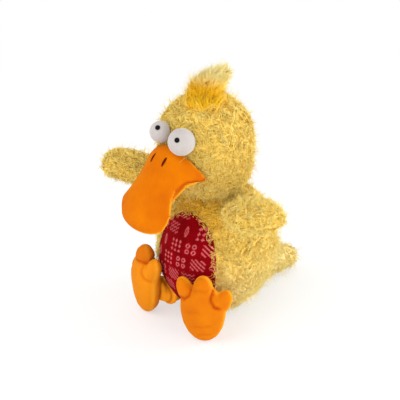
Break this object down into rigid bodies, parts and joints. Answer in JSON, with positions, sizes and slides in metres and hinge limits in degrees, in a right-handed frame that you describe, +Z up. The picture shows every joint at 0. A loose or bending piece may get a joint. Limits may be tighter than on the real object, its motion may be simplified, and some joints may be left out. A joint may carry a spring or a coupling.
{
  "type": "plush duck",
  "caption": "Seated stuffed toy duck with curly yellow fur, a long drooping orange bill, a red cotton belly patch and orange feet with their soles forward.",
  "frame": {"origin": "on the floor at the middle of the seat, on the vertical axis that the head turns about", "axes": "+Z up, -Y the way the duck faces, +X the duck's left"},
  "size_m": [0.2364, 0.2321, 0.2547],
  "materials": {
    "fur": "curly pile",
    "tuft": "long pile",
    "velour": "short smooth pile",
    "cotton": "printed weave",
    "eye_cloth": "smooth fleece",
    "pupil": "gloss",
    "stitch": "thread",
    "stuffing": "loose fibre"
  },
  "bodies": {
    "torso": {"torso_left_panel": "fur", "torso_right_panel": "fur", "torso_base_panel": "fur", "belly_panel": "cotton", "torso_fill": "stuffing"},
    "head": {"head_left_panel": "fur", "head_right_panel": "fur", "head_fill": "stuffing", "head_tuft": "tuft", "eye_left": "eye_cloth", "eye_right": "eye_cloth", "pupil_left": "pupil", "pupil_right": "pupil", "upper_bill": "velour", "nostril_stitch_left": "stitch", "nostril_stitch_right": "stitch"},
    "jaw": {"lower_bill": "velour"},
    "tail": {"tail": "fur"},
    "left_wing": {"left_wing_upper_panel": "fur", "left_wing_lower_panel": "fur", "left_wing_fill": "stuffing"},
    "right_wing": {"right_wing_upper_panel": "fur", "right_wing_lower_panel": "fur", "right_wing_fill": "stuffing"},
    "left_leg": {"left_leg": "velour", "left_foot_sole_panel": "velour", "left_foot_instep_panel": "velour", "left_foot_fill": "stuffing"},
    "right_leg": {"right_leg": "velour", "right_foot_sole_panel": "velour", "right_foot_instep_panel": "velour", "right_foot_fill": "stuffing"}
  },
  "joints": [
    {"name": "head_turn", "type": "hinge", "parent": "torso", "child": "head", "pos_m": [0, 0, 0.1], "axis": [0, 0, 1], "range_deg": [-20, 20], "stiffness_Nm_per_rad": 0.08},
    {"name": "bill_open", "type": "hinge", "parent": "head", "child": "jaw", "pos_m": [0, -0.0665, 0.1625], "axis": [1, 0, 0], "range_deg": [0, 12], "stiffness_Nm_per_rad": 0.02},
    {"name": "left_wing_flap", "type": "hinge", "parent": "torso", "child": "left_wing", "pos_m": [0.0405, -0.005, 0.129], "axis": [0, -1, 0], "range_deg": [-30, 25], "stiffness_Nm_per_rad": 0.08},
    {"name": "right_wing_flap", "type": "hinge", "parent": "torso", "child": "right_wing", "pos_m": [-0.0405, -0.005, 0.129], "axis": [0, 1, 0], "range_deg": [-30, 25], "stiffness_Nm_per_rad": 0.08},
    {"name": "left_leg_spread", "type": "hinge", "parent": "torso", "child": "left_leg", "pos_m": [0.0275, -0.039, 0.019], "axis": [0, 0, 1], "range_deg": [-6, 25], "stiffness_Nm_per_rad": 0.05},
    {"name": "right_leg_spread", "type": "hinge", "parent": "torso", "child": "right_leg", "pos_m": [-0.0275, -0.039, 0.019], "axis": [0, 0, -1], "range_deg": [-6, 25], "stiffness_Nm_per_rad": 0.05},
    {"name": "tail_wag", "type": "hinge", "parent": "torso", "child": "tail", "pos_m": [0, 0.058, 0.028], "axis": [0, 0, 1], "range_deg": [-15, 15], "stiffness_Nm_per_rad": 0.05}
  ]
}
